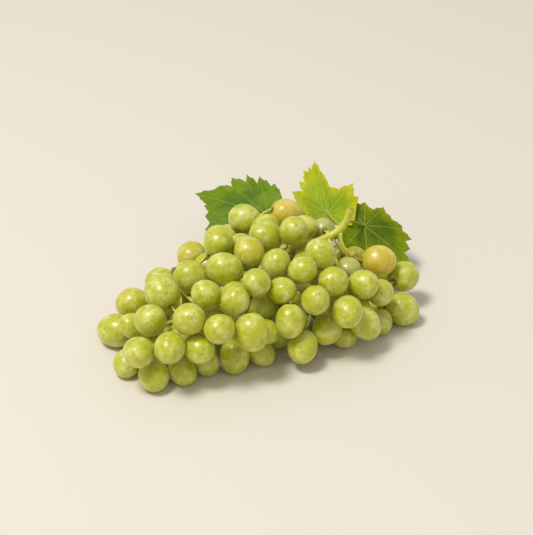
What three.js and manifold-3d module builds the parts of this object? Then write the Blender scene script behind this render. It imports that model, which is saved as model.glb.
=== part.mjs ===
// A bunch of white table grapes lying on a flat surface, as picked: the woody stem with its side
// shoots and berry stalks, three leaves on their own stalks, and the berries.
// Millimetres, +Z up.  +X runs from the tip of the bunch to the cut end of its stem.

import * as THREE from 'three';
import { mergeVertices } from 'three/addons/utils/BufferGeometryUtils.js';
import Module from 'manifold-3d';

const wasm = await Module();
wasm.setup();

// ---- driving dimensions ----

const CLEARANCE = 0.3; // gap between neighbouring pieces
const REST_DIP = 0.8; // depth of the flat that a resting berry gets from its own weight
const REST_BAND = 2.5; // a berry whose underside is this near the surface rests on it
const SETTLE_ROUNDS = 500;

const PEDUNCLE_RADIUS = 2.3; // at the cut end
const RACHIS_TIP_RADIUS = 1.1;
const SHOOT_RADIUS = 1.1;
const STALK_RADIUS = 0.75; // the thin stalk of one berry
const RECEPTACLE_RADIUS = 1.7; // the round seat where the stalk meets its berry
const NECK_RADIUS = 1.6; // the joint between berries that have grown together
const NECK_SUNK = 2.5; // how deep the end of that joint sits in a berry
const NECK_REACH = 6; // the widest gap that such a joint spans
const CLUSTER_SIZE = 8; // berries in one such cluster
const HELD = 0.15; // how readily an open berry gives way, where a sheltered one counts as 1

const LEAF_THICKNESS = 0.8;
const LEAF_STALK_RADIUS = 1;
const LEAF_STALK_FLARE = 1.25; // how much thicker that stalk is where it joins the stem
const LEAF_CLEARANCE = 2.2; // leaves keep this far from the berries
const LEAF_RETREAT = 0.4; // the steps in which a blade is bent back from a berry
const LEAF_RINGS = [0.4, 0.72, 1]; // shares of the way from the stalk to the edge

const STEM_COLOUR = 0x8c9a45;
const BERRY_COLOUR = 0xb4c356;
const SHADED_BERRY_COLOUR = 0x93a745;

// ---- where things grow ----

// The main stem, from its cut end, through the heart of the bunch, to the tip.
const MAIN_STEM = [
  [61, -8, 77], [58, -8, 67], [53, -9, 61], [47, -11, 58], [40, -10, 54], [31, -6, 49],
  [21, -4, 44], [8, -14, 38], [-10, -32, 33], [-30, -50, 29], [-52, -62, 25], [-71, -64, 19],
];

// Each side shoot ends in a fork, where the stalks of its berries meet; two shoots have a bent way
// to it, which starts on the main stem.  A berry is written as [x, y, z, thickness, length]; its
// long axis points away from the fork, or the way that a sixth entry gives.  The first list of a
// shoot holds its open berries and the second those that its neighbours nearly hide.
const SHOOTS = {
  tip: {
    fork: [-77, -62, 16],
    open: [
      [-95, -54, 12, 22.5, 27.5], [-70, -80, 36, 20.5, 23], [-76, -106, 29, 19.5, 23],
      [-85, -88, 9, 18, 20.5], [-66, -102, 10, 19.5, 23],
    ],
    sheltered: [[-50, -91, 8, 17.5, 20], [-66, -84, 14, 18.5, 21], [-84, -67, 23, 16.5, 19]],
  },
  low_left: {
    fork: [-50, -72, 30],
    open: [
      [-64, -51, 38, 23, 26.5], [-44, -96, 47, 20.5, 23], [-56, -108, 34, 19.5, 23.5],
      [-38, -101, 29, 19, 22],
    ],
    sheltered: [
      [-32, -86, 10, 17.5, 20], [-51, -82, 14, 19, 21.5], [-38, -72, 12, 19, 21.5], [-62, -66, 12, 19, 21.5],
    ],
  },
  left: {
    fork: [-55, -22, 24],
    open: [[-86, -32, 18, 20, 22.5], [-46, -31, 34, 22, 26, [0.85, -0.1, -0.4]]],
    sheltered: [
      [-66, -15, 22, 20, 23], [-35, -11, 35, 18, 21], [-48, 17, 26, 20, 23], [-72, -40, 10, 19, 21.5],
      [-52, -47, 12, 19.5, 22], [-57, -4, 10, 19.5, 22], [-38, 2, 12, 19, 21.5], [-59, -28, 13, 17, 19.5],
    ],
  },
  front: {
    fork: [-17, -72, 31],
    open: [
      [-34, -72, 50, 19, 21], [-15, -83, 52, 18.5, 20.5], [-25, -102, 44, 19, 22.5],
      [-5, -94, 37, 21.5, 25.5, [0.2, -0.5, -0.8]], [-18, -84, 12, 19.5, 24],
    ],
    sheltered: [
      [0, -77, 9, 17, 19.5], [2, -62, 33, 18.5, 21], [-34, -59, 27, 18, 20], [4, -77, 26, 16, 18.5],
    ],
  },
  crown: {
    fork: [4, -42, 38],
    open: [
      [-2, -68, 57, 18.5, 20.5], [15, -65, 48, 18, 20.5], [11, -43, 56, 18.5, 21], [-7, -27, 55, 20, 22],
      [-23, -42, 51, 22, 25], [28, -53, 57, 18, 20],
    ],
    sheltered: [],
  },
  back: {
    fork: [-10, 18, 28],
    open: [
      [-27, 24, 34, 21.5, 25], [-11, 39, 43, 21, 23.5, [-0.9, 0.3, 0.2]],
      [19, 39, 47, 21, 25, [0.85, 0.2, -0.4]],
    ],
    sheltered: [
      [-22, 44, 24, 20, 23], [-13, 1, 43, 18.5, 21], [4, 24, 44, 19, 22], [-25, 4, 27, 19, 22],
    ],
  },
  top: {
    fork: [20, 6, 42],
    open: [[4, -5, 54, 21.5, 25], [23, -12, 63, 19.5, 21.5]],
    sheltered: [[26, 5, 36, 16.5, 19]],
  },
  front_right: {
    fork: [32, -60, 30],
    open: [
      [20, -79, 35, 18.5, 23, [0, -0.5, -0.85]], [28, -79, 17, 19.5, 23], [36, -73, 47, 18.5, 21],
    ],
    sheltered: [[13, -60, 12, 16.5, 19], [55, -57, 8, 16.5, 19], [28, -61, 28, 17, 19]],
  },
  shoulder: {
    fork: [56, -42, 38],
    open: [
      [40, -38, 60, 20, 22.5], [48, -57, 51, 19.5, 22], [57, -70, 36, 20, 24], [68, -51, 45, 19, 22],
      [44, -66, 20, 19.5, 22.5], [69, -60, 21, 20, 25, [0.6, -0.4, -0.7]],
    ],
    sheltered: [[60, -17, 36, 17.5, 20], [46, -46, 26, 18, 20]],
  },
  stem_end: {
    way: [[36, -8, 51], [46, -22, 38], [60, -30, 27]],
    fork: [80, -26, 24],
    open: [[80, -42, 33, 18, 20.5], [97, -28, 11, 21.5, 24], [99, -4, 22, 21, 23.5]],
    sheltered: [[82, -39, 8, 16, 18.5], [77, -22, 10, 18, 20]],
  },
  stem_side: {
    way: [[54, -10, 60], [55, -13, 53], [58.5, -14, 48]],
    fork: [62.5, -12.5, 44.5],
    open: [[81, -10, 38, 21.5, 24, [1, 0, -0.05]]],
    sheltered: [[66, 15, 25, 17, 19.5], [54, 5, 33, 15.5, 18], [86, 13, 10, 18, 20]],
  },
  stem_back: {
    fork: [47, 4, 52],
    open: [[44, 25, 42, 17.5, 20]],
    sheltered: [[31, 15, 50, 16.5, 19]],
  },
};

// The heart of the bunch: more berries fill whatever room is left inside these rounds, which are
// written as [x, y, z, radius].
const HEART = [
  [-74, -68, 15, 14], [-52, -40, 16, 28], [-28, -32, 18, 39], [-4, -10, 20, 41], [22, -6, 20, 42],
  [46, -12, 18, 33], [70, -20, 16, 22],
];
const HEART_BOX = { x: [-100, 104], y: [-96, 60], top: 60 };
const FILLER = { thickness: 19.5, length: 21, step: 4 };

// A leaf is drawn about the end of its stalk: `tip` is the way that its middle lobe points and
// `face` is its upper side.  The outline goes round by [degrees, radius], from lobe tips to notches.
const LEAVES = {
  leaf_left: {
    colour: 0x3f7d2c,
    centre: [6, 54, 37],
    tip: [-0.88, 0.48, 0.07],
    face: [-0.2, -0.5, 0.84],
    cup: 5,
    outline: [
      [0, 63], [7, 49], [9, 51], [14, 46], [19, 48], [25, 44], [32, 48], [40, 34], [52, 24], [66, 33],
      [84, 24], [104, 31], [126, 25], [150, 20], [170, 9], [190, 9], [212, 15], [236, 15], [267, 19],
      [286, 27], [292, 25], [308, 36], [313, 30], [320, 41], [325, 35], [334, 46], [340, 40], [346, 48],
      [353, 51],
    ],
    stalk: [[6, 54, 37], [20, 54, 31], [34, 42, 27], [46, 34, 28], [54, 21, 38], [52, 7, 49], [49, -6, 56]],
  },
  leaf_middle: {
    colour: 0x8fb63a,
    centre: [48, 45, 45],
    tip: [-0.2, 0.78, 0.59],
    face: [0.05, -0.59, 0.8],
    cup: 3,
    outline: [
      [0, 43], [6, 36], [8, 39], [11, 35], [16, 37], [22, 29], [28, 32], [35, 24], [46, 30], [60, 22],
      [79, 17], [104, 20], [126, 15], [158, 10], [202, 12], [228, 20], [258, 20], [276, 22], [288, 26],
      [295, 23], [310, 30], [325, 20], [345, 21], [351, 29], [357, 35],
    ],
    stalk: [[48, 45, 45], [50, 33, 48], [53, 15, 54], [55, -4, 62]],
  },
  leaf_right: {
    colour: 0x4c8a2f,
    centre: [74, 42, 36],
    tip: [0.71, -0.51, -0.48],
    face: [0.25, -0.45, 0.86],
    cup: 4,
    outline: [
      [8, 42], [13, 34], [21, 37], [29, 32], [36, 37], [45, 30], [54, 30], [63, 24], [80, 22], [93, 25],
      [106, 17], [118, 17], [128, 21], [140, 18], [152, 20], [172, 15], [196, 14], [214, 11], [228, 12],
      [238, 18], [250, 23], [262, 25], [282, 24], [306, 25], [330, 24], [346, 34],
    ],
    stalk: [[74, 42, 36], [65, 31, 45.5], [61, 20, 52], [59.5, 7, 58.5], [59, -4, 65]],
  },
};

// ---- small helpers ----

const vec = (list) => new THREE.Vector3(list[0], list[1], list[2]);

// Turns a closed three.js geometry into a solid that can be joined and cut.
function solidFrom(geometry) {
  const bare = geometry.clone();
  bare.deleteAttribute('normal');
  bare.deleteAttribute('uv');
  const merged = mergeVertices(bare, 1e-4);
  const mesh = new wasm.Mesh({
    numProp: 3,
    vertProperties: new Float32Array(merged.attributes.position.array),
    triVerts: new Uint32Array(merged.index.array),
  });
  mesh.merge();
  return new wasm.Manifold(mesh);
}

// Turns a solid back into a three.js geometry.
function geometryFrom(solid) {
  const { numProp, vertProperties, triVerts } = solid.getMesh();
  const count = vertProperties.length / numProp;
  const position = new Float32Array(count * 3);
  for (let i = 0; i < count; i++) {
    position.set(vertProperties.subarray(i * numProp, i * numProp + 3), i * 3);
  }
  const geometry = new THREE.BufferGeometry();
  geometry.setAttribute('position', new THREE.BufferAttribute(position, 3));
  geometry.setIndex(new THREE.BufferAttribute(new Uint32Array(triVerts), 1));
  geometry.computeVertexNormals();
  return geometry;
}

// A closed tube along a smooth curve: a straight cylinder is bent along it, and its radius follows
// radiusAt(t), with t from 0 at the start to 1 at the end.
function bentTube(points, radiusAt, sides, steps) {
  const curve = new THREE.CatmullRomCurve3(points);
  const frames = curve.computeFrenetFrames(steps);
  const geometry = new THREE.CylinderGeometry(1, 1, 1, sides, steps);
  const position = geometry.attributes.position;
  const place = new THREE.Vector3();
  for (let i = 0; i < position.count; i++) {
    const t = position.getY(i) + 0.5;
    const ring = Math.round(t * steps);
    const radius = radiusAt(t);
    curve.getPointAt(t, place);
    place.addScaledVector(frames.normals[ring], position.getX(i) * radius);
    place.addScaledVector(frames.binormals[ring], -position.getZ(i) * radius);
    position.setXYZ(i, place.x, place.y, place.z);
  }
  return solidFrom(geometry);
}

const smooth = (t) => THREE.MathUtils.smoothstep(t, 0, 1);

// ---- berries ----

// Half the width of an egg-round berry along any direction.
function halfWidth(berry, direction) {
  const along = direction.dot(berry.axis);
  return Math.hypot(berry.half * along, berry.radius * Math.sqrt(Math.max(0, 1 - along * along)));
}

// How far out a point lies from a berry's centre, as a share of the berry grown by `margin`.
function outness(berry, point, margin) {
  const offset = point.clone().sub(berry.place);
  const along = offset.dot(berry.axis);
  const across = Math.sqrt(Math.max(0, offset.lengthSq() - along * along));
  return Math.hypot(along / (berry.half + margin), across / (berry.radius + margin));
}

function makeBerry(row, shootName, name, sheltered) {
  const place = vec(row);
  const axis = row[5] ? vec(row[5]) : place.clone().sub(vec(SHOOTS[shootName].fork));
  const berry = {
    name,
    shootName,
    sheltered,
    place,
    radius: row[3] / 2,
    half: row[4] / 2,
    axis: axis.normalize(),
    gives: sheltered ? 1 : HELD,
    filler: false,
  };
  berry.rests = row[2] - halfWidth(berry, new THREE.Vector3(0, 0, 1)) < REST_BAND;
  return berry;
}

function openBerries() {
  return Object.entries(SHOOTS).flatMap(([shootName, shoot]) => {
    const rows = [...shoot.open, ...shoot.sheltered];
    const name = (i) => `berry_${shootName}_${i + 1}`;
    return rows.map((row, i) => makeBerry(row, shootName, name(i), i >= shoot.open.length));
  });
}

function nearestShoot(point) {
  const gap = (name) => vec(SHOOTS[name].fork).distanceTo(point);
  return Object.keys(SHOOTS).reduce((best, name) => (gap(name) < gap(best) ? name : best));
}

// Berries are added one by one in the tightest place of the heart that still has room for one.
function fillHeart(berries, obstacles) {
  const room = FILLER.thickness / 2;
  const low = room - REST_DIP;
  const spots = [];
  for (let x = HEART_BOX.x[0]; x <= HEART_BOX.x[1]; x += FILLER.step) {
    for (let y = HEART_BOX.y[0]; y <= HEART_BOX.y[1]; y += FILLER.step) {
      for (let z = low; z <= HEART_BOX.top; z += FILLER.step) {
        const spot = new THREE.Vector3(x, y, z);
        if (HEART.some((round) => vec(round).distanceTo(spot) < round[3])) spots.push(spot);
      }
    }
  }
  const free = (spot) => {
    const toBerries = berries.map((b) => b.place.distanceTo(spot) - (b.radius * 2 + b.half) / 3);
    const toOthers = obstacles.map((ball) => ball.place.distanceTo(spot) - ball.radius);
    return Math.min(...toBerries, ...toOthers);
  };
  const added = [];
  for (;;) {
    const fits = spots.map((spot) => ({ spot, room: free(spot) })).filter((s) => s.room >= room);
    if (fits.length === 0) return added;
    const { spot } = fits.reduce((best, s) => (s.room < best.room ? s : best));
    const row = [spot.x, spot.y, spot.z, FILLER.thickness, FILLER.length];
    const berry = makeBerry(row, nearestShoot(spot), `berry_heart_${added.length + 1}`, true);
    berry.filler = true;
    added.push(berry);
    berries.push(berry);
  }
}

// Pushes berries apart until none touches another, the wood or the surface below.
function settle(berries, obstacles) {
  const up = new THREE.Vector3(0, 0, 1);
  const between = new THREE.Vector3();
  for (let round = 0; round < SETTLE_ROUNDS; round++) {
    for (let i = 0; i < berries.length; i++) {
      const a = berries[i];
      for (let j = i + 1; j < berries.length; j++) {
        const b = berries[j];
        between.subVectors(b.place, a.place);
        const distance = between.length();
        if (distance > a.half + b.half + CLEARANCE) continue;
        between.divideScalar(distance);
        const lack = halfWidth(a, between) + halfWidth(b, between) + CLEARANCE - distance;
        if (lack <= 0) continue;
        const share = lack / (a.gives + b.gives);
        a.place.addScaledVector(between, -share * a.gives);
        b.place.addScaledVector(between, share * b.gives);
      }
      for (const ball of obstacles) {
        if (ball.yields && !a.filler) continue;
        between.subVectors(a.place, ball.place);
        const distance = between.length();
        if (distance > a.half + ball.radius + CLEARANCE) continue;
        between.divideScalar(distance);
        const lack = halfWidth(a, between) + ball.radius + CLEARANCE - distance;
        if (lack > 0) a.place.addScaledVector(between, lack / 2);
      }
      const below = halfWidth(a, up);
      a.place.z = a.rests ? below - REST_DIP : Math.max(a.place.z, below + CLEARANCE);
    }
  }
}

// An egg-round solid of 80 flat facets, long along the berry's axis.
function berrySolid(berry) {
  const geometry = new THREE.IcosahedronGeometry(1, 1);
  geometry.scale(berry.radius, berry.radius, berry.half);
  const turn = new THREE.Quaternion().setFromUnitVectors(new THREE.Vector3(0, 0, 1), berry.axis);
  geometry.applyQuaternion(turn);
  geometry.translate(berry.place.x, berry.place.y, berry.place.z);
  return solidFrom(geometry);
}

// ---- wood ----

const mainStem = new THREE.CatmullRomCurve3(MAIN_STEM.map(vec));
const mainRadiusAt = (t) => THREE.MathUtils.lerp(PEDUNCLE_RADIUS, RACHIS_TIP_RADIUS, smooth(t));

function nearestOnStem(point) {
  const samples = mainStem.getSpacedPoints(120);
  return samples.reduce((best, s) => (s.distanceTo(point) < best.distanceTo(point) ? s : best));
}

// A side shoot takes the shortest way from the main stem to its fork, unless it has a way of its own.
function shootPath(shoot) {
  const fork = vec(shoot.fork);
  if (shoot.way) return [...shoot.way.map(vec), fork];
  const foot = nearestOnStem(fork);
  return [foot, foot.clone().lerp(fork, 0.5), fork];
}

// Small balls along the wood, which keep the berries off it.
function woodAsBalls() {
  const balls = mainStem.getSpacedPoints(60).map((place, i) => ({ place, radius: mainRadiusAt(i / 60) }));
  for (const shoot of Object.values(SHOOTS)) {
    const path = new THREE.CatmullRomCurve3(shootPath(shoot));
    path.getSpacedPoints(8).forEach((place) => balls.push({ place, radius: SHOOT_RADIUS }));
  }
  for (const { stalk } of Object.values(LEAVES)) {
    const path = new THREE.CatmullRomCurve3(stalk.map(vec));
    const radius = LEAF_STALK_RADIUS * LEAF_STALK_FLARE;
    path.getSpacedPoints(24).forEach((place) => balls.push({ place, radius }));
  }
  return balls;
}

// Small balls along the straight way of each stalk, which keep the fillers off it.
function stalksAsBalls(berries) {
  return berries.flatMap((berry) => {
    const seat = berry.place.clone().addScaledVector(berry.axis, -berry.half);
    const way = new THREE.LineCurve3(seat, vec(SHOOTS[berry.shootName].fork));
    return way.getPoints(6).map((place) => ({ place, radius: STALK_RADIUS, yields: true }));
  });
}

// Small balls all over the blades, which keep the fillers off them.
function leavesAsBalls() {
  const shares = [0, 0.17, 0.34, 0.5, 0.66, 0.83, 1];
  return Object.values(LEAVES).flatMap((leaf) =>
    leafSurface(leaf, shares).map((place) => ({ place, radius: LEAF_CLEARANCE, yields: true })));
}

// The way of a berry's stalk from its seat back to the fork, bent so that it passes between berries.
function stalkPath(berry, berries, margin) {
  const seat = berry.place.clone().addScaledVector(berry.axis, -(berry.half + CLEARANCE));
  const fork = vec(SHOOTS[berry.shootName].fork);
  const count = 4;
  const path = Array.from({ length: count + 1 }, (_, i) => seat.clone().lerp(fork, i / count));
  const near = berries.filter((b) => b.place.distanceTo(seat) < seat.distanceTo(fork) + 16);
  for (let round = 0; round < 60; round++) {
    for (let i = 1; i < count; i++) {
      path[i].lerp(path[i - 1].clone().add(path[i + 1]).multiplyScalar(0.5), 0.4);
      for (const b of near) {
        const out = outness(b, path[i], margin);
        if (out < 1) path[i].sub(b.place).divideScalar(Math.max(out, 0.2)).add(b.place);
      }
    }
  }
  const others = near.filter((b) => b !== berry);
  const smoothed = new THREE.CatmullRomCurve3(path).getSpacedPoints(24);
  const free = smoothed.every((point) => others.every((b) => outness(b, point, 0) > 1));
  return { path, free };
}

// The whole woody skeleton in one piece, grown by `extra` all round.
function stemSolid(stalkPaths, extra) {
  let solid = bentTube(MAIN_STEM.map(vec), (t) => mainRadiusAt(t) + extra, 8, 18);
  const parts = [];
  for (const shoot of Object.values(SHOOTS)) {
    parts.push(bentTube(shootPath(shoot), () => SHOOT_RADIUS + extra, 5, shoot.way ? 8 : 3));
  }
  const flare = (t) => THREE.MathUtils.smoothstep(1 - t, 0.75, 1) * (RECEPTACLE_RADIUS - STALK_RADIUS);
  for (const path of stalkPaths) {
    parts.push(bentTube(path, (t) => STALK_RADIUS + flare(t) + extra, 3, 3));
  }
  for (const part of parts) solid = solid.add(part);
  return solid;
}

// ---- leaves ----

// The middle surface of a blade: its centre, then one ring of points for each share of the way to
// its edge.  The blade is a polar grid about the end of the leaf stalk, and its edge bends down.
function leafSurface(leaf, shares) {
  const face = vec(leaf.face).normalize();
  const tip = vec(leaf.tip).addScaledVector(face, -vec(leaf.tip).dot(face)).normalize();
  const side = new THREE.Vector3().crossVectors(face, tip);
  const reach = Math.max(...leaf.outline.map(([, radius]) => radius));
  const pointAt = (degrees, radius) => {
    const angle = THREE.MathUtils.degToRad(degrees);
    const point = vec(leaf.centre);
    point.addScaledVector(tip, radius * Math.cos(angle));
    point.addScaledVector(side, radius * Math.sin(angle));
    return point.addScaledVector(face, -leaf.cup * (radius / reach) ** 2);
  };
  const ring = (share) => leaf.outline.map(([degrees, radius]) => pointAt(degrees, radius * share));
  const rings = shares.flatMap(ring);
  return [vec(leaf.centre), ...rings];
}

// A thin closed blade, bent back where an open berry is in its way, joined with its stalk.  It is
// grown by `extra` on both faces.
function leafSolid(leaf, berries, extra) {
  const face = vec(leaf.face).normalize();
  const shares = LEAF_RINGS;
  const spokes = leaf.outline.length;
  const middle = leafSurface(leaf, shares);
  for (const point of middle) {
    while (berries.some((b) => outness(b, point, LEAF_CLEARANCE) < 1)) {
      point.addScaledVector(face, -LEAF_RETREAT);
    }
  }
  const upper = middle.map((p) => p.clone().addScaledVector(face, LEAF_THICKNESS / 2 + extra));
  const lower = middle.map((p) => p.clone().addScaledVector(face, -LEAF_THICKNESS / 2 - extra));
  const vertices = [...upper, ...lower];

  const triangles = [];
  const both = (a, b, c) => {
    triangles.push(a, b, c);
    triangles.push(middle.length + a, middle.length + c, middle.length + b);
  };
  const at = (ring, spoke) => 1 + ring * spokes + (spoke % spokes);
  for (let s = 0; s < spokes; s++) {
    both(0, at(0, s), at(0, s + 1));
    for (let ring = 1; ring < shares.length; ring++) {
      both(at(ring - 1, s), at(ring, s), at(ring, s + 1));
      both(at(ring - 1, s), at(ring, s + 1), at(ring - 1, s + 1));
    }
    const rim = [at(shares.length - 1, s), at(shares.length - 1, s + 1)];
    triangles.push(rim[0], middle.length + rim[0], rim[1]);
    triangles.push(rim[1], middle.length + rim[0], middle.length + rim[1]);
  }
  const blade = new THREE.BufferGeometry().setFromPoints(vertices);
  blade.setIndex(triangles);
  const stalkRadiusAt = (t) => LEAF_STALK_RADIUS * THREE.MathUtils.lerp(1, LEAF_STALK_FLARE, t) + extra;
  const stalk = bentTube(leaf.stalk.map(vec), stalkRadiusAt, 6, 10);
  return solidFrom(blade).add(stalk);
}

// ---- berries that have grown together ----

const gapBetween = (a, b) => a.place.distanceTo(b.place) - a.radius - b.radius;

// Groups the sheltered berries into clusters of neighbours, working along the bunch.
function clusters(berries) {
  const waiting = [...berries].sort((a, b) => a.place.x - b.place.x);
  const groups = [];
  while (waiting.length > 0) {
    const group = [waiting.shift()];
    while (group.length < CLUSTER_SIZE && waiting.length > 0) {
      const near = waiting.map((b) => Math.min(...group.map((a) => gapBetween(a, b))));
      const best = near.indexOf(Math.min(...near));
      if (near[best] > NECK_REACH) break;
      group.push(...waiting.splice(best, 1));
    }
    groups.push(group);
  }
  return groups;
}

// A short neck from inside one berry to inside its neighbour.
function neckSolid(a, b) {
  const way = b.place.clone().sub(a.place).normalize();
  const start = a.place.clone().addScaledVector(way, a.radius - NECK_SUNK);
  const end = b.place.clone().addScaledVector(way, -(b.radius - NECK_SUNK));
  const neck = new THREE.CylinderGeometry(NECK_RADIUS, NECK_RADIUS, start.distanceTo(end), 6);
  neck.applyQuaternion(new THREE.Quaternion().setFromUnitVectors(new THREE.Vector3(0, 1, 0), way));
  const middle = start.lerp(end, 0.5);
  neck.translate(middle.x, middle.y, middle.z);
  return solidFrom(neck);
}

function clusterSolid(group) {
  let solid = berrySolid(group[0]);
  for (let i = 1; i < group.length; i++) {
    const earlier = group.slice(0, i);
    const near = (b) => b.place.distanceTo(group[i].place) - b.radius;
    const host = earlier.reduce((best, b) => (near(b) < near(best) ? b : best));
    solid = solid.add(berrySolid(group[i])).add(neckSolid(host, group[i]));
  }
  return solid;
}

// ---- the bunch ----

const berries = openBerries();
const obstacles = [...woodAsBalls(), ...stalksAsBalls(berries), ...leavesAsBalls()];
fillHeart(berries, obstacles);
settle(berries, obstacles);

const stalkMargin = STALK_RADIUS + CLEARANCE;
const stalkPaths = berries
  .map((berry) => ({ filler: berry.filler, ...stalkPath(berry, berries, stalkMargin) }))
  .filter((stalk) => stalk.free || !stalk.filler)
  .map((stalk) => stalk.path);
const stem = stemSolid(stalkPaths, 0);
const stemWithGap = stemSolid(stalkPaths, CLEARANCE);

// Everything below the surface is cut away, which leaves small coplanar flats under the bunch.
const slab = new THREE.BoxGeometry(400, 400, 40);
slab.translate(0, 0, -20);
const underground = solidFrom(slab);

const bunch = new THREE.Group();
function addPiece(name, solid, colour, roughness) {
  const material = new THREE.MeshStandardMaterial({ color: colour, roughness, metalness: 0 });
  const mesh = new THREE.Mesh(geometryFrom(solid), material);
  mesh.name = name;
  bunch.add(mesh);
}

addPiece('stem', stem, STEM_COLOUR, 0.6);

let takenSpace = stemWithGap.add(underground);
for (const [name, leaf] of Object.entries(LEAVES)) {
  addPiece(name, leafSolid(leaf, berries, 0).subtract(takenSpace), leaf.colour, 0.5);
  takenSpace = takenSpace.add(leafSolid(leaf, berries, CLEARANCE));
}

for (const berry of berries.filter((b) => !b.sheltered)) {
  addPiece(berry.name, berrySolid(berry).subtract(takenSpace), BERRY_COLOUR, 0.3);
}

let clusterCount = 0;
for (const group of clusters(berries.filter((b) => b.sheltered))) {
  const alone = group.length === 1;
  if (alone && group[0].filler) continue;
  if (!alone) clusterCount += 1;
  const solid = clusterSolid(group).subtract(takenSpace);
  addPiece(alone ? group[0].name : `berry_cluster_${clusterCount}`, solid, SHADED_BERRY_COLOUR, 0.35);
}

// The frame's origin is under the middle of the bunch, on the surface it rests on.
const bounds = new THREE.Box3().setFromObject(bunch);
const middle = bounds.getCenter(new THREE.Vector3());
bunch.position.set(-middle.x, -middle.y, 0);

export default bunch;
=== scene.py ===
# A bunch of white table grapes lying on a pale surface, with its woody stem and three vine leaves.
# Metres, +Z up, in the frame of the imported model.  Every shape is a surface worked out with numpy.
import math
import bpy
import numpy as np
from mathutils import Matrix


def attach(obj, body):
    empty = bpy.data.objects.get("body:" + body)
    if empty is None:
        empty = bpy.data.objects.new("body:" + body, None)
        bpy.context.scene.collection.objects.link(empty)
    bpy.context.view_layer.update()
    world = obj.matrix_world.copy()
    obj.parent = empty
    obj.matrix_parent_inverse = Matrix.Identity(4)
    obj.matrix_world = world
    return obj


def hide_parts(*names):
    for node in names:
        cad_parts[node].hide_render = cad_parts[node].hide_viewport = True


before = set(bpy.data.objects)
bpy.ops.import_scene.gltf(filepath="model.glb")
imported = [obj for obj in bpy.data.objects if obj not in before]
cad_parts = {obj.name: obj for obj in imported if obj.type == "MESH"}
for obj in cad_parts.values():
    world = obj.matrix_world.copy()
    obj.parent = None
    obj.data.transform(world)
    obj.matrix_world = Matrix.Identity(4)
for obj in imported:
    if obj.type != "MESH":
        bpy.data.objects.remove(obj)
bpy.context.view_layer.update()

# ---- The camera, the floor and the light --------------------------------------------------------
# A table top picture: a long lens looks down on the bunch, which lies on a plain cream surface
# under one broad soft light from above and the left, with a weak pale fill from all round.

AIM = (0.0038, 0.0585, 0.0)
CAMERA_DISTANCE = 1.0775
CAMERA_HEIGHT_ANGLE = math.radians(31.5)
LENS_MM, SENSOR_MM = 100, 36

lens = bpy.data.cameras.new("camera")
lens.lens, lens.sensor_width, lens.sensor_height = LENS_MM, SENSOR_MM, SENSOR_MM
lens.clip_start, lens.clip_end = 0.01, 50
camera = bpy.data.objects.new("camera", lens)
camera.location = (
    AIM[0],
    AIM[1] - CAMERA_DISTANCE * math.cos(CAMERA_HEIGHT_ANGLE),
    AIM[2] + CAMERA_DISTANCE * math.sin(CAMERA_HEIGHT_ANGLE),
)
camera.rotation_euler = (math.pi / 2 - CAMERA_HEIGHT_ANGLE, 0, 0)
bpy.context.scene.collection.objects.link(camera)
bpy.context.scene.camera = camera
bpy.context.scene.view_settings.view_transform = "Standard"


def mesh_object(name, points, faces, material, values=None):
    """Puts points and faces into a new smooth mesh object; values holds named numbers per point."""
    mesh = bpy.data.meshes.new(name)
    mesh.from_pydata(points.tolist(), [], faces.tolist() if hasattr(faces, "tolist") else faces)
    mesh.polygons.foreach_set("use_smooth", [True] * len(mesh.polygons))
    for key, numbers in (values or {}).items():
        mesh.attributes.new(key, "FLOAT", "POINT").data.foreach_set("value", numbers.astype(np.float32))
    mesh.materials.append(material)
    mesh.update()
    made = bpy.data.objects.new(name, mesh)
    bpy.context.scene.collection.objects.link(made)
    return made


def plain_material(name, colour, roughness):
    """One principled surface of an even colour and roughness."""
    made = bpy.data.materials.new(name)
    made.use_nodes = True
    shader = made.node_tree.nodes["Principled BSDF"]
    shader.inputs["Base Color"].default_value = (*colour, 1)
    shader.inputs["Roughness"].default_value = roughness
    return made


FLOOR_REACH, FLOOR_CREAM, FLOOR_ROUGHNESS = 6.0, (0.73, 0.69, 0.62), 0.9
floor_corners = np.array([[-1, -1, 0], [1, -1, 0], [1, 1, 0], [-1, 1, 0]]) * FLOOR_REACH
cream_floor = plain_material("cream_floor", FLOOR_CREAM, FLOOR_ROUGHNESS)
floor = mesh_object("floor", floor_corners, [[0, 1, 2, 3]], cream_floor)


def soft_box(name, place, towards, size, watts, colour):
    """A square area lamp at a place, turned to face a point."""
    lamp = bpy.data.lights.new(name, "AREA")
    lamp.size, lamp.energy, lamp.color = size, watts, colour
    made = bpy.data.objects.new(name, lamp)
    made.location = place
    way = np.array(towards, float) - np.array(place, float)
    flat = math.hypot(way[0], way[1])
    made.rotation_euler = (math.atan2(flat, -way[2]), 0, math.atan2(way[1], way[0]) - math.pi / 2)
    bpy.context.scene.collection.objects.link(made)
    return made


KEY_PLACE, KEY_TARGET = (-0.95, -0.55, 2.5), (0, 0, 0.03)
KEY_SIZE, KEY_WATTS, KEY_COLOUR = 0.75, 52, (1.0, 0.975, 0.93)
AIR_COLOUR, AIR_STRENGTH = (1.0, 0.96, 0.89, 1), 0.56
soft_box("key_light", KEY_PLACE, KEY_TARGET, KEY_SIZE, KEY_WATTS, KEY_COLOUR)
world = bpy.data.worlds.new("studio_air")
bpy.context.scene.world = world
world.use_nodes = True
world.node_tree.nodes["Background"].inputs["Color"].default_value = AIR_COLOUR
world.node_tree.nodes["Background"].inputs["Strength"].default_value = AIR_STRENGTH


# ---- The berries --------------------------------------------------------------------------------
# Oval seeded grapes with a thin waxy skin over see-through flesh.  Each grew from a flower: its
# stalk sits in a shallow dimple at one end, and the other end keeps the flower's small brown scar.

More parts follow.
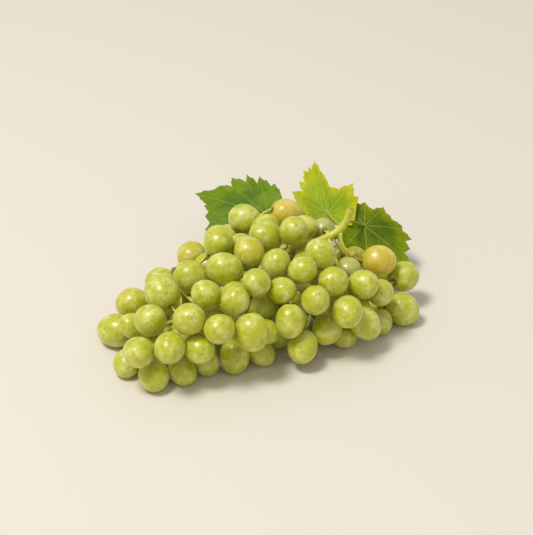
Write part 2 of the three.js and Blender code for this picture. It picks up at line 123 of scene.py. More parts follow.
MM = 0.001
USUAL_RADIUS = 9.6 * MM
GATHER = 3.2 * MM  # how near to each other the facets of one berry look back to
APART = 6.0 * MM  # nearer than this they still belong to it
SKIN_SWELL = 0.12 * MM  # the skin closes part of the gap that the solids keep
BERRY_RINGS, BERRY_SPOKES = 36, 52
TRIMS = (-0.2, -0.1, -0.05, -0.02, -0.01)  # how far inside its oval a corner may lie, round by round
LEAST_SKIN = 0.25  # the share of a usual berry's skin that makes a gathering a berry
STALK_END_WIDER, TWO_SWELLS, THREE_SWELLS = 0.022, 0.010, 0.007
DIMPLE_DEPTH, DIMPLE_REACH = 1.0 * MM, 2.6 * MM
SCAR_HEIGHT, SCAR_REACH = 0.22 * MM, 0.7 * MM
FLOOR_SOFTNESS = 0.35 * MM


def facets(node):
    """The triangles of a CAD node, as an array of three corners each."""
    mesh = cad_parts[node].data
    mesh.calc_loop_triangles()
    corners = np.empty(len(mesh.loop_triangles) * 3, np.int64)
    mesh.loop_triangles.foreach_get("vertices", corners)
    points = np.empty(len(mesh.vertices) * 3)
    mesh.vertices.foreach_get("co", points)
    return points.reshape(-1, 3)[corners].reshape(-1, 3, 3)


def fit_oval(points, guess):
    """The oval through a berry's corners: the quadric x'Ax + 2b'x = 1 with the least squared miss.
    Corners that lie inside it, from a dent or a flat, are left out in a few tightening rounds."""
    x, y, z = ((points - guess) / USUAL_RADIUS).T
    terms = np.stack([x * x, y * y, z * z, 2 * x * y, 2 * x * z, 2 * y * z, 2 * x, 2 * y, 2 * z], 1)
    keep = np.ones(len(points), bool)
    for trim in TRIMS:
        k = np.linalg.lstsq(terms[keep], np.ones(keep.sum()), rcond=None)[0]
        keep = terms @ k - 1 > trim
    a = np.array([[k[0], k[3], k[4]], [k[3], k[1], k[5]], [k[4], k[5], k[2]]])
    middle = -np.linalg.solve(a, k[6:])
    stretch, ways = np.linalg.eigh(a / (1 + middle @ a @ middle))
    lengths = USUAL_RADIUS / np.sqrt(stretch)
    return guess + middle * USUAL_RADIUS, ways[:, 0], lengths[1:].mean(), lengths[0]


def berries_in(node):
    """Every berry of a CAD node as (middle, long axis, radius, half length).  Each facet looks back
    along its normal by one usual radius, and where many such points gather is a berry's middle."""
    tri = facets(node)
    normal = np.cross(tri[:, 1] - tri[:, 0], tri[:, 2] - tri[:, 0])
    area = np.linalg.norm(normal, axis=1) / 2
    look = tri.mean(1) - normal / np.maximum(2 * area, 1e-12)[:, None] * USUAL_RADIUS
    gaps = np.linalg.norm(look[:, None] - look[None], axis=2)
    free = np.ones(len(tri), bool)
    found = []
    while True:
        weight = (gaps < GATHER) @ (area * free) * free
        best = weight.argmax()
        if weight[best] < LEAST_SKIN * 4 * math.pi * USUAL_RADIUS**2:
            return found
        members = (gaps[best] < GATHER) & free
        guess = np.average(look[members], axis=0, weights=area[members])
        own = np.linalg.norm(look - guess, axis=1) < APART
        corners = np.unique(tri[own & free].reshape(-1, 3).round(7), axis=0)
        found.append(fit_oval(corners, guess))
        free &= ~own


berry_nodes = sorted(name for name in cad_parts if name.startswith("berry"))
berries = [(node, *oval) for node in berry_nodes for oval in berries_in(node)]
berry_middle = np.array([b[1] for b in berries])
berry_axis = np.array([b[2] for b in berries])
berry_radius = np.array([b[3] for b in berries])
berry_half = np.array([b[4] for b in berries])

# Where the berry stalks of each side shoot meet, in the working places of the CAD source.  The shift
# moves its origin under the middle of the bunch.
SHIFT = np.array([-0.7776, 14.879, 0.0]) * MM
FORKS = {
    "tip": (-77, -62, 16), "low_left": (-50, -72, 30), "left": (-55, -22, 24), "front": (-17, -72, 31),
    "crown": (4, -42, 38), "back": (-10, 18, 28), "top": (20, 6, 42), "front_right": (32, -60, 30),
    "shoulder": (56, -42, 38), "stem_end": (80, -26, 24), "stem_side": (62.5, -12.5, 44.5),
    "stem_back": (47, 4, 52),
}
fork_places = np.array(list(FORKS.values())) * MM + SHIFT


def fork_of(node, middle):
    """The fork that a berry hangs from: its node's own shoot, or for a cluster the nearest one."""
    shoot = node.removeprefix("berry_").rsplit("_", 1)[0]
    if shoot in FORKS:
        return list(FORKS).index(shoot)
    return int(np.linalg.norm(fork_places - middle, axis=1).argmin())


berry_fork = np.array([fork_of(b[0], b[1]) for b in berries])
outward = (berry_axis * (berry_middle - fork_places[berry_fork])).sum(1)
berry_axis = berry_axis * np.where(outward < 0, -1.0, 1.0)[:, None]

# How ripe a berry is goes from 0 for green to 1 for golden.  Below 0 the number is painted shade instead:
# the
# # berry gets the pale, glassy grey-green that a berry lying in shade shows.  It is by chance, but for the
# # berries of these nodes.
RIPE_MEAN, RIPE_SPREAD, LEAST_RIPE, MOST_RIPE = 0.22, 0.13, 0.02, 0.5
RIPENESS_AND_PAINTED_SHADE_BY_NODE = {
    "berry_back_3": 1.0, "berry_stem_side_1": 1.0, "berry_crown_4": 0.5, "berry_back_1": 0.5,
    "berry_left_1": 0.5, "berry_low_left_1": 0.15, "berry_top_2": 0.12, "berry_stem_back_1": -0.8,
    "berry_left_5": 0.55, "berry_shoulder_7": -0.6,
}
chance = np.random.default_rng(7)
berry_ripeness_and_painted_shade = np.clip(chance.normal(RIPE_MEAN, RIPE_SPREAD, len(berries)), LEAST_RIPE, MOST_RIPE)
berry_turn = chance.uniform(0, 2 * math.pi, (len(berries), 4))
for index, berry in enumerate(berries):
    berry_ripeness_and_painted_shade[index] = RIPENESS_AND_PAINTED_SHADE_BY_NODE.get(berry[0], berry_ripeness_and_painted_shade[index])


def across(axes):
    """Two unit ways square to each axis, for a stack of axes."""
    spare = np.where(np.abs(axes[:, 2:3]) < 0.9, [[0.0, 0.0, 1.0]], [[1.0, 0.0, 0.0]])
    one = np.cross(spare, axes)
    one /= np.linalg.norm(one, axis=1)[:, None]
    return one, np.cross(axes, one)


def closed_grid(rings, spokes):
    """Faces of a grid of rings by spokes that closes round on itself, with a point at either end:
    the end points are numbered after the rings, first the one before ring 0."""
    ring, spoke = np.meshgrid(np.arange(rings - 1), np.arange(spokes), indexing="ij")
    a = ring * spokes + spoke
    b = ring * spokes + (spoke + 1) % spokes
    quads = np.stack([a, b, b + spokes, a + spokes], -1).reshape(-1, 4)
    s = np.arange(spokes)
    t = (s + 1) % spokes
    first, last = rings * spokes, rings * spokes + 1
    start = np.stack([np.full(spokes, first), t, s], 1)
    end = np.stack([np.full(spokes, last), (rings - 1) * spokes + s, (rings - 1) * spokes + t], 1)
    return quads.tolist() + start.tolist() + end.tolist()


berry_faces = closed_grid(BERRY_RINGS, BERRY_SPOKES)


def above_floor(points):
    """Points with each height z made (z + sqrt(z z + softness squared)) / 2, which is never below 0."""
    low = points[:, 2:]
    return np.concatenate([points[:, :2], 0.5 * (low + np.sqrt(low**2 + FLOOR_SOFTNESS**2))], 1)


def berry_points(index):
    """The skin of one berry and how far each point is towards the scar, 0 to 1.  With a from 0 at the
    stalk to pi at the scar, a point lies at -cos(a) half lengths along the axis and sin(a) radii off
    it.  The skin is a little wider at the stalk end and swells by about 1 percent two and three times
    round, sinks to a dimple at the stalk, rises to a dot at the scar and is flat on the floor."""
    a = (np.arange(BERRY_RINGS) + 1) / (BERRY_RINGS + 1) * math.pi
    a = np.concatenate([np.repeat(a, BERRY_SPOKES), [0.0, math.pi]])
    turns = np.arange(BERRY_SPOKES) / BERRY_SPOKES * 2 * math.pi
    around = np.concatenate([np.tile(turns, BERRY_RINGS), [0.0, 0.0]])
    radius, half = berry_radius[index] + SKIN_SWELL, berry_half[index] + SKIN_SWELL
    turn = berry_turn[index]
    uneven = 1 + TWO_SWELLS * np.sin(2 * around + turn[0]) * np.sin(a) ** 2
    uneven += THREE_SWELLS * np.sin(3 * around + turn[1]) * np.sin(a) ** 3
    off = radius * np.sin(a) * (1 + STALK_END_WIDER * np.cos(a)) * uneven
    along = -half * np.cos(a)
    along += np.where(a < 1.2, DIMPLE_DEPTH * np.exp(-((off / DIMPLE_REACH) ** 2)), 0)
    along += np.where(a > 2.2, SCAR_HEIGHT * np.exp(-((off / SCAR_REACH) ** 4)), 0)
    one, two = across(berry_axis[index : index + 1])
    points = berry_middle[index] + along[:, None] * berry_axis[index]
    points += off[:, None] * (np.cos(around)[:, None] * one + np.sin(around)[:, None] * two)
    return above_floor(points), a / math.pi


def node_group(name, inputs, outputs):
    """An empty shader node group with the named sockets; each input is (name, kind, value)."""
    group = bpy.data.node_groups.new(name, "ShaderNodeTree")
    for key, kind, value in inputs:
        socket = group.interface.new_socket(key, in_out="INPUT", socket_type=kind)
        socket.default_value = value
    for key, kind in outputs:
        group.interface.new_socket(key, in_out="OUTPUT", socket_type=kind)
    return group, group.nodes.new("NodeGroupInput"), group.nodes.new("NodeGroupOutput")


def add(tree, kind, links=None, **settings):
    """A new node with settings; links gives each named input a socket to link or a value."""
    node = tree.nodes.new(kind)
    for key, value in settings.items():
        setattr(node, key, value)
    for key, value in (links or {}).items():
        if isinstance(value, bpy.types.NodeSocket):
            tree.links.new(value, node.inputs[key])
        else:
            node.inputs[key].default_value = value
    return node


def remap(tree, value, low, high, to_low=0.0, to_high=1.0):
    """A value stretched from one range to another with soft ends."""
    node = add(tree, "ShaderNodeMapRange", {"Value": value, 1: low, 2: high, 3: to_low, 4: to_high})
    node.interpolation_type = "SMOOTHSTEP"
    return node.outputs["Result"]


def blend_colour(tree, share, first, second):
    """A mix of two colours, sockets or values, by a share."""
    node = tree.nodes.new("ShaderNodeMix")
    node.data_type = "RGBA"
    for socket, value in ((node.inputs[0], share), (node.inputs[6], first), (node.inputs[7], second)):
        if isinstance(value, bpy.types.NodeSocket):
            tree.links.new(value, socket)
        else:
            socket.default_value = value
    return node.outputs[2]


# The soft cloudy blotches that skin, wood and leaves all have, and the specks of skin and wood.
blotches, blotch_in, blotch_out = node_group(
    "cloudy_blotches",
    [
        ("Size per metre", "NodeSocketFloat", 200.0),
        ("Low", "NodeSocketFloat", 0.4),
        ("High", "NodeSocketFloat", 0.65),
    ],
    [("Mask", "NodeSocketFloat")],
)
spot = add(blotches, "ShaderNodeTexCoord")
cloud = add(
    blotches, "ShaderNodeTexNoise",
    {"Vector": spot.outputs["Object"], "Scale": blotch_in.outputs[0], "Detail": 3.0},
)
cloud_mask = add(
    blotches, "ShaderNodeMapRange",
    {"Value": cloud.outputs["Fac"], 1: blotch_in.outputs[1], 2: blotch_in.outputs[2]},
    interpolation_type="SMOOTHSTEP",
)
blotches.links.new(cloud_mask.outputs["Result"], blotch_out.inputs[0])

specks, speck_in, speck_out = node_group(
    "scattered_specks",
    [
        ("Size per metre", "NodeSocketFloat", 900.0),
        ("Radius", "NodeSocketFloat", 0.2),
        ("Share", "NodeSocketFloat", 0.5),
    ],
    [("Mask", "NodeSocketFloat")],
)
spot = add(specks, "ShaderNodeTexCoord")
placed = {"Vector": spot.outputs["Object"], "Scale": speck_in.outputs[0]}
cells = add(specks, "ShaderNodeTexVoronoi", placed)
near = {0: cells.outputs["Distance"], 1: speck_in.outputs[1]}
dot = add(specks, "ShaderNodeMath", near, operation="LESS_THAN")
pick = add(specks, "ShaderNodeSeparateColor", {0: cells.outputs["Color"]})
some = add(specks, "ShaderNodeMath", {0: pick.outputs[0], 1: speck_in.outputs[2]}, operation="LESS_THAN")
both = add(specks, "ShaderNodeMath", {0: dot.outputs[0], 1: some.outputs[0]}, operation="MULTIPLY")
specks.links.new(both.outputs[0], speck_out.inputs[0])


def place_group(tree, group, **values):
    """A node group placed in a material with its own values; returns its mask."""
    node = tree.nodes.new("ShaderNodeGroup")
    node.node_tree = group
    for key, value in values.items():
        node.inputs[key.replace("_", " ")].default_value = value
    return node.outputs["Mask"]


def attribute(tree, name):
    """The number that the mesh holds at each point under this name."""
    return add(tree, "ShaderNodeAttribute", attribute_name=name).outputs["Fac"]


GRAPE_GREEN = (0.50, 0.52, 0.008, 1)
GRAPE_DEEP = (0.25, 0.33, 0.003, 1)
GRAPE_PALE = (0.65, 0.67, 0.17, 1)
GRAPE_GOLD = (0.66, 0.48, 0.03, 1)
GRAPE_BLUSH = (0.78, 0.60, 0.16, 1)
# Painted shade: the pale, glassy grey-green look of a berry that lies in shade.
GRAPE_PAINTED_SHADE = (0.46, 0.48, 0.17, 1)
SCAR_BROWN = (0.13, 0.075, 0.025, 1)
SPECK_OLIVE = (0.12, 0.12, 0.012, 1)
DIMPLE_OLIVE = (0.30, 0.24, 0.05, 1)


def grape_skin():
    """Yellow-green skin with paler clouds and deeper mottling, a golden blush by how ripe the berry is,
    tiny olive specks, and a brown scar and stalk dimple at the ends.  Where the number is below zero
    the colour is painted shade: the pale, glassy grey-green of a berry lying in shade.  A thin wax coat
    gives the small glint over the broad soft one."""
    made = plain_material("grape_skin", GRAPE_GREEN[:3], 0.3)
    tree = made.node_tree
    shader = tree.nodes["Principled BSDF"]
    ripe_and_painted_shade, end = attribute(tree, "ripeness_and_painted_shade"), attribute(tree, "end")
    clouds = place_group(tree, blotches, Size_per_metre=150.0, Low=0.42, High=0.68)
    fine = place_group(tree, blotches, Size_per_metre=620.0, Low=0.45, High=0.75)
    colour = blend_colour(tree, clouds, GRAPE_GREEN, GRAPE_PALE)
    mottle = place_group(tree, blotches, Size_per_metre=330.0, Low=0.48, High=0.70)
    mottled = blend_colour(tree, remap(tree, mottle, 0, 1, 0, 0.42), colour, GRAPE_DEEP)
    deep = blend_colour(tree, remap(tree, fine, 0, 1, 0, 0.2), mottled, GRAPE_DEEP)
    golden = blend_colour(tree, clouds, GRAPE_GOLD, GRAPE_BLUSH)
    blush = blend_colour(tree, remap(tree, ripe_and_painted_shade, 0.25, 1.0, 0.0, 0.8), deep, golden)
    # Painted shade: below zero the berry turns the pale, glassy grey-green of a berry lying in shade.
    blush_and_painted_shade = blend_colour(tree, remap(tree, ripe_and_painted_shade, 0.0, -0.8, 0.0, 0.8), blush, GRAPE_PAINTED_SHADE)
    dots = place_group(tree, specks, Size_per_metre=430.0, Radius=0.15, Share=0.42)
    dotted = blend_colour(tree, remap(tree, dots, 0, 1, 0, 0.7), blush_and_painted_shade, SPECK_OLIVE)
    small = place_group(tree, specks, Size_per_metre=800.0, Radius=0.2, Share=0.3)
    dusted = blend_colour(tree, remap(tree, small, 0, 1, 0, 0.45), dotted, SPECK_OLIVE)
    scar = remap(tree, end, 0.980, 0.988, 0.0, 0.8)
    scarred = blend_colour(tree, scar, dusted, SCAR_BROWN)
    dimple = remap(tree, end, 0.11, 0.05, 0, 0.7)
    final = blend_colour(tree, dimple, scarred, DIMPLE_OLIVE)
    tree.links.new(final, shader.inputs["Base Color"])
    bloom = place_group(tree, blotches, Size_per_metre=260.0, Low=0.35, High=0.7)
    tree.links.new(remap(tree, bloom, 0, 1, 0.36, 0.50), shader.inputs["Roughness"])
    grain = add(tree, "ShaderNodeBump", {"Height": fine, "Strength": 0.12, "Distance": 0.0002})
    tree.links.new(grain.outputs[0], shader.inputs["Normal"])
    shader.inputs["Subsurface Weight"].default_value = 0.6
    shader.inputs["Subsurface Radius"].default_value = (1.0, 0.85, 0.15)
    shader.inputs["Subsurface Scale"].default_value = 0.007
    shader.inputs["Specular IOR Level"].default_value = 0.75
    shader.inputs["Coat Weight"].default_value = 0.3
    shader.inputs["Coat Roughness"].default_value = 0.12
    shader.inputs["Sheen Weight"].default_value = 0.25
    shader.inputs["Sheen Roughness"].default_value = 0.35
    shader.inputs["Sheen Tint"].default_value = (0.95, 1.0, 0.6, 1)
    return made


skin = grape_skin()
for node in berry_nodes:
    members = [i for i, berry in enumerate(berries) if berry[0] == node]
    shapes = [berry_points(i) for i in members]
    size = len(shapes[0][0])
    points = np.concatenate([shape[0] for shape in shapes])
    faces = [[corner + k * size for corner in face] for k in range(len(members)) for face in berry_faces]
    values = {
        "end": np.concatenate([shape[1] for shape in shapes]),
        "ripeness_and_painted_shade": np.repeat(berry_ripeness_and_painted_shade[members], size),
    }
    piece = mesh_object(node + "_skin", points, faces, skin, values)
    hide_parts(node)
    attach(piece, "root")


# ---- The stem -----------------------------------------------------------------------------------
# The woody skeleton that everything hangs on: a main stem cut from the vine at its thick end, side
# shoots, and one thin stalk to each berry that ends in a brown warty seat.  It grew as one piece;
# the wood is fresh and yellow-green, browner at its joints and seats.

MAIN_STEM = np.array([
    (61, -8, 77), (58, -8, 67), (53, -9, 61), (47, -11, 58), (40, -10, 54), (31, -6, 49), (21, -4, 44),
    (8, -14, 38), (-10, -32, 33), (-30, -50, 29), (-52, -62, 25), (-71, -64, 19),
]) * MM + SHIFT
CUT_RADIUS, TIP_RADIUS = 2.45 * MM, 1.1 * MM
SHOOT_RADIUS, FORK_RADIUS = 1.25 * MM, 1.9 * MM
STALK_RADIUS, SEAT_RADIUS, SEAT_LENGTH = 0.72 * MM, 1.9 * MM, 1.5 * MM
MAIN_STEPS, SHOOT_STEPS, STALK_STEPS = 150, 30, 30
MAIN_SPOKES, SHOOT_SPOKES, STALK_SPOKES = 28, 18, 10
SHOOT_ROUNDS, STALK_ROUNDS = 30, 70
STALK_LOWEST = 1.8 * MM
SEAT_SUNK = 0.7 * MM  # how far a seat sits inside the end of its berry's oval


def even_route(points, count, rounds=6):
    """Evenly spaced points along a route with its corners rounded: each point is moved to the mean of
    itself and its two neighbours, a few times over, while the ends stay."""
    step = np.linalg.norm(np.diff(points, axis=0), axis=1)
    reach = np.concatenate([[0], np.cumsum(step)])
    at = np.linspace(0, reach[-1], count)
    route = np.stack([np.interp(at, reach, points[:, k]) for k in range(3)], 1)
    for _ in range(rounds):
        route[1:-1] = (route[:-2] + 2 * route[1:-1] + route[2:]) / 4
    return route


def tubes(routes, radii, spokes, dome=0.0):
    """Round closed tubes, one for each route in a stack.  A point lies at the route's point plus the
    radius there times (cos w, sin w) in the plane square to the route, whose first way is the one
    least like any of the route's directions, made square to each.  Returns points, faces, and for
    each point its share of the way along."""
    count, steps, _ = routes.shape
    along = np.gradient(routes, axis=1)
    along /= np.linalg.norm(along, axis=2)[..., None]
    spread = np.einsum("kni,knj->kij", along, along)
    odd = np.linalg.eigh(spread)[1][:, None, :, 0]
    one = odd - (odd * along).sum(2)[..., None] * along
    one /= np.linalg.norm(one, axis=2)[..., None]
    two = np.cross(along, one)
    w = np.arange(spokes) / spokes * 2 * math.pi
    ring = one[:, :, None] * np.cos(w)[:, None] + two[:, :, None] * np.sin(w)[:, None]
    skin = (routes[:, :, None] + radii[:, :, None, None] * ring).reshape(count, -1, 3)
    start = routes[:, 0] - along[:, 0] * radii[:, :1] * dome
    end = routes[:, -1] + along[:, -1] * radii[:, -1:] * dome
    points = np.concatenate([skin, start[:, None], end[:, None]], 1)
    share = np.concatenate([np.repeat(np.linspace(0, 1, steps), spokes), [0, 1]])
    size = points.shape[1]
    single = closed_grid(steps, spokes)
    faces = [[corner + k * size for corner in face] for k in range(count) for face in single]
    return points.reshape(-1, 3), faces, np.tile(share, count)


def outness(points, grow):
    """How far out each point is from each berry: 1 on its oval grown by `grow`, less inside."""
    offset = points[..., None, :] - berry_middle
    lengthwise = (offset * berry_axis).sum(-1)
    crosswise = np.sqrt(np.maximum((offset**2).sum(-1) - lengthwise**2, 0))
    return np.hypot(lengthwise / (berry_half + grow), crosswise / (berry_radius + grow))


def clear_of_berries(routes, grow, rounds, low=0.0):
    """Routes between fixed ends that keep off every berry.  In each round a point moves halfway to
    the mean of its neighbours, then straight out of any berry that it is in, and up to the lowest
    height allowed."""
    routes = routes.copy()
    for _ in range(rounds):
        inner = 0.5 * routes[..., 1:-1, :] + 0.25 * (routes[..., :-2, :] + routes[..., 2:, :])
        out = outness(inner, grow)
        nearest = out.argmin(-1)
        depth = np.clip(out.min(-1), 0.2, 1)[..., None]
        inner = berry_middle[nearest] + (inner - berry_middle[nearest]) / depth
        inner[..., 2] = np.maximum(inner[..., 2], low)
        routes[..., 1:-1, :] = inner
    return routes


def fade(distance, reach):
    """A bell that is 1 at distance 0 and falls away over the reach."""
    return np.exp(-((distance / reach) ** 2))


def join(parts):
    """Several (points, faces, values) meshes as one: the faces are renumbered after each other."""
    points = np.concatenate([part[0] for part in parts])
    starts = np.cumsum([0] + [len(part[0]) for part in parts[:-1]])
    faces = []
    for part, start in zip(parts, starts.tolist()):
        faces += [[corner + start for corner in face] for face in part[1]]
    values = {key: np.concatenate([part[2][key] for part in parts]) for key in parts[0][2]}
    return points, faces, values


main_route = even_route(MAIN_STEM, MAIN_STEPS, 10)
main_share = np.linspace(0, 1, len(main_route))
feet = np.linalg.norm(main_route[None] - fork_places[:, None], axis=2).argmin(1)
gap_to_foot = np.linalg.norm(main_route[None] - main_route[feet][:, None], axis=2)
main_radius = TIP_RADIUS + (CUT_RADIUS - TIP_RADIUS) * (1 - main_share) ** 0.8
main_radius = main_radius * (1 + 0.12 * fade(gap_to_foot, 2.6 * MM).max(0))
from_cut = np.linalg.norm(main_route - main_route[0], axis=1)
main_radius += 0.35 * MM * fade(from_cut, 2.2 * MM) + 0.06 * MM * np.sin(from_cut / (1.7 * MM))
main_stem = tubes(main_route[None], main_radius[None], MAIN_SPOKES)
joints = fade(gap_to_foot, 3 * MM).max(0)
inner = np.clip((main_share - 0.24) / 0.2, 0, 1)
brown_ring = 0.12 * joints + 0.45 * inner + 0.3 * fade(from_cut, 0.5 * MM)
main_brown = np.append(np.repeat(brown_ring, MAIN_SPOKES), [0.7, 0.8])

# Most shoots leave the main stem where it passes nearest.  These two leave it higher up, at the
# first of these places, and bend round the berries between.
SHOOT_WAYS = {
    "stem_end": [(36, -8, 51), (46, -22, 38), (60, -30, 27)],
    "stem_side": [(54, -10, 60), (55, -13, 53), (58.5, -14, 48)],
}
shoot_routes = []
for fork, place, foot in zip(FORKS, fork_places, feet):
    way = [np.array(point) * MM + SHIFT for point in SHOOT_WAYS.get(fork, [])]
    shoot_routes.append(even_route(np.array((way or [main_route[foot]]) + [place]), SHOOT_STEPS))
shoot_routes = clear_of_berries(np.array(shoot_routes), SHOOT_RADIUS, SHOOT_ROUNDS)
hop = np.linalg.norm(np.diff(shoot_routes, axis=1), axis=2)
shoot_along = np.concatenate([np.zeros((len(hop), 1)), np.cumsum(hop, 1)], 1)
shoot_length = shoot_along[:, -1:]
shoot_radius = SHOOT_RADIUS + 0.6 * MM * fade(shoot_along, 2.5 * MM)
shoot_radius += (FORK_RADIUS - SHOOT_RADIUS) * fade(shoot_length - shoot_along, 2.2 * MM)
shoots = tubes(shoot_routes, shoot_radius, SHOOT_SPOKES, dome=0.6)
shoot_brown = np.clip(1.3 * (shoots[2] - 0.5), 0, 1) ** 2 * 0.7

seats = berry_middle - berry_axis * (berry_half - SEAT_SUNK)[:, None]
share = np.linspace(0, 1, STALK_STEPS)[None, :, None]
lead = seats - berry_axis * 0.35 * np.linalg.norm(seats - fork_places[berry_fork], axis=1)[:, None]
ends = fork_places[berry_fork]
stalk_routes = (
    seats[:, None] * (1 - share) ** 2 + 2 * lead[:, None] * share * (1 - share) + ends[:, None] * share**2
)
stalk_routes = clear_of_berries(stalk_routes, STALK_RADIUS, STALK_ROUNDS, STALK_LOWEST)
hop = np.linalg.norm(np.diff(stalk_routes, axis=1), axis=2)
from_seat = np.concatenate([np.zeros((len(hop), 1)), np.cumsum(hop, 1)], 1)
to_fork = from_seat[:, -1:] - from_seat
wart = 1 + 0.07 * np.sin(from_seat / (0.45 * MM) + berry_turn[:, :1])
stalk_radius = STALK_RADIUS * (1 + 0.05 * np.sin(from_seat / (2 * MM) + berry_turn[:, 1:2]))
stalk_radius += (SEAT_RADIUS - STALK_RADIUS) * fade(from_seat, SEAT_LENGTH) * wart
stalk_radius += 0.45 * MM * fade(to_fork, 2.5 * MM)
stalks = tubes(stalk_routes, stalk_radius, STALK_SPOKES, dome=0.2)
by_ring = np.clip(fade(from_seat, 2.6 * MM) + 0.5 * fade(to_fork, 2 * MM), 0, 1)
by_point = [np.repeat(by_ring, STALK_SPOKES, 1), by_ring[:, :1], by_ring[:, -1:]]
stalk_brown = np.concatenate(by_point, 1).ravel()

WOOD_GREEN = (0.62, 0.64, 0.03, 1)
WOOD_PALE = (0.74, 0.70, 0.14, 1)
WOOD_BROWN = (0.17, 0.085, 0.022, 1)


def fresh_wood():
    """Yellow-green skin with paler clouds and small brown lenticels, turning brown where the mesh
    says, over a fine uneven grain."""
    made = plain_material("fresh_wood", WOOD_GREEN[:3], 0.5)
    tree = made.node_tree
    shader = tree.nodes["Principled BSDF"]
    clouds = place_group(tree, blotches, Size_per_metre=260.0, Low=0.35, High=0.7)
    colour = blend_colour(tree, clouds, WOOD_GREEN, WOOD_PALE)
    dots = place_group(tree, specks, Size_per_metre=900.0, Radius=0.16, Share=0.4)
    dotted = blend_colour(tree, remap(tree, dots, 0, 1, 0, 0.55), colour, WOOD_BROWN)
    rough = place_group(tree, blotches, Size_per_metre=900.0, Low=0.3, High=0.7)
    uneven = remap(tree, rough, 0, 1, 0.55, 1.25)
    brown = add(tree, "ShaderNodeMath", {0: attribute(tree, "brown"), 1: uneven}, operation="MULTIPLY")
    brown.use_clamp = True
    browned = blend_colour(tree, brown.outputs[0], dotted, WOOD_BROWN)
    tree.links.new(browned, shader.inputs["Base Color"])
    tree.links.new(remap(tree, attribute(tree, "brown"), 0, 1, 0.42, 0.75), shader.inputs["Roughness"])
    grain = add(tree, "ShaderNodeBump", {"Height": rough, "Strength": 0.35, "Distance": 0.0003})
    tree.links.new(grain.outputs[0], shader.inputs["Normal"])
    shader.inputs["Subsurface Weight"].default_value = 0.15
    shader.inputs["Subsurface Radius"].default_value = (1.0, 0.8, 0.2)
    shader.inputs["Subsurface Scale"].default_value = 0.0015
    return made


stem_points, stem_faces, stem_values = join([
    (main_stem[0], main_stem[1], {"brown": main_brown}),
    (shoots[0], shoots[1], {"brown": shoot_brown}),
    (stalks[0], stalks[1], {"brown": stalk_brown}),
])
stem = mesh_object("woody_stem", above_floor(stem_points), stem_faces, fresh_wood(), stem_values)
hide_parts("stem")
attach(stem, "root")


# ---- The leaves ---------------------------------------------------------------------------------
# Three vine leaves, each a thin toothed blade on a stalk of its own that grows from the main stem.
# Seven ribs spread from the end of the stalk to the teeth, sunk on the upper side and standing out
# below, and the blade puffs up between them.

BLADE_THICKNESS = 0.4 * MM
BLADE_RINGS, TOOTH_STEPS = 44, 12
SMALL_TOOTH, TOOTHED_SHARE, TIP_HOLLOW = 0.09, 0.55, 0.018
RIB_WIDTH, SIDE_RIB_WIDTH = 0.5 * MM, 0.3 * MM
SIDE_RIB_TURN, SIDE_RIB_REACH = math.radians(42), 0.42
SIDE_RIB_FEET = (0.22, 0.3, 0.4, 0.5, 0.6, 0.7, 0.8, 0.9)
PUFF, PUFF_REACH = 1.2 * MM, 3.2 * MM
RIB_SUNK, RIB_RAISED, WAVE = 0.4 * MM, 0.35 * MM, 0.7 * MM
CALM_ROUNDS = 40  # how often the teeth are evened out for the rings inside the edge
RETREAT, RETREAT_ROUNDS, BERRY_ROOM = 0.3 * MM, 60, 0.9 * MM
LEAF_STALK_STEPS, LEAF_STALK_SPOKES = 60, 16
# Each leaf in the working places: the middle where its ribs meet, the way to its tip and the way it
# faces, how deep it cups, the ribs' angles from the tip, its outline as (angle, radius) at each
# tooth and notch, the way of its stalk, and its dark, light and edge greens.
LEAVES = {
    "leaf_left": {
        "centre": (6, 54, 37), "tip": (-0.88, 0.48, 0.07), "face": (-0.2, -0.5, 0.84), "cup": 5,
        "ribs": (0, 28, 66, 104, 340, 308, 275),
        "outline": [
            (0, 63), (7, 49), (9, 51), (14, 46), (19, 48), (25, 44), (32, 48), (40, 34), (52, 24), (66, 33),
            (84, 24), (104, 31), (126, 25), (150, 20), (170, 9), (190, 9), (212, 15), (236, 15), (267, 19),
            (286, 27), (292, 25), (308, 36), (313, 30), (320, 41), (325, 35), (334, 46), (340, 40),
            (346, 48), (353, 51),
        ],
        "stalk": [
            (6, 54, 37), (20, 54, 31), (34, 42, 27), (46, 34, 28), (54, 21, 38), (52, 7, 49), (49, -6, 56),
        ],
        "greens": ((0.070, 0.150, 0.001, 1), (0.16, 0.27, 0.003, 1), (0.17, 0.27, 0.002, 1)),
    },
    "leaf_middle": {
        "centre": (48, 45, 45), "tip": (-0.2, 0.78, 0.59), "face": (0.05, -0.59, 0.8), "cup": 3,
        "ribs": (0, 28, 50, 100, 313, 283, 240),
        "outline": [
            (0, 43), (6, 36), (8, 39), (11, 35), (16, 37), (22, 29), (28, 32), (35, 24), (46, 30), (60, 22),
            (79, 17), (104, 20), (126, 15), (158, 10), (202, 12), (228, 20), (258, 20), (276, 22),
            (288, 26), (295, 23), (310, 30), (325, 20), (345, 21), (351, 29), (357, 35),
        ],
        "stalk": [(48, 45, 45), (50, 33, 48), (53, 15, 54), (55, -4, 62)],
        "greens": ((0.22, 0.33, 0.003, 1), (0.35, 0.45, 0.008, 1), (0.62, 0.56, 0.003, 1)),
    },
    "leaf_right": {
        "centre": (74, 42, 36), "tip": (0.71, -0.51, -0.48), "face": (0.25, -0.45, 0.86), "cup": 4,
        "ribs": (8, 50, 92, 128, 165, 318, 275),
        "outline": [
            (8, 42), (13, 34), (21, 37), (29, 32), (36, 37), (45, 30), (54, 30), (63, 24), (80, 22),
            (93, 25), (106, 17), (118, 17), (128, 21), (140, 18), (152, 20), (172, 15), (196, 14),
            (214, 11), (228, 12), (238, 18), (250, 23), (262, 25), (282, 24), (306, 25), (330, 24),
            (346, 34),
        ],
        "stalk": [(74, 42, 36), (65, 31, 45.5), (61, 20, 52), (59.5, 7, 58.5), (59, -4, 65)],
        "greens": ((0.070, 0.125, 0.001, 1), (0.17, 0.25, 0.002, 1), (0.33, 0.39, 0.002, 1)),
    },
}


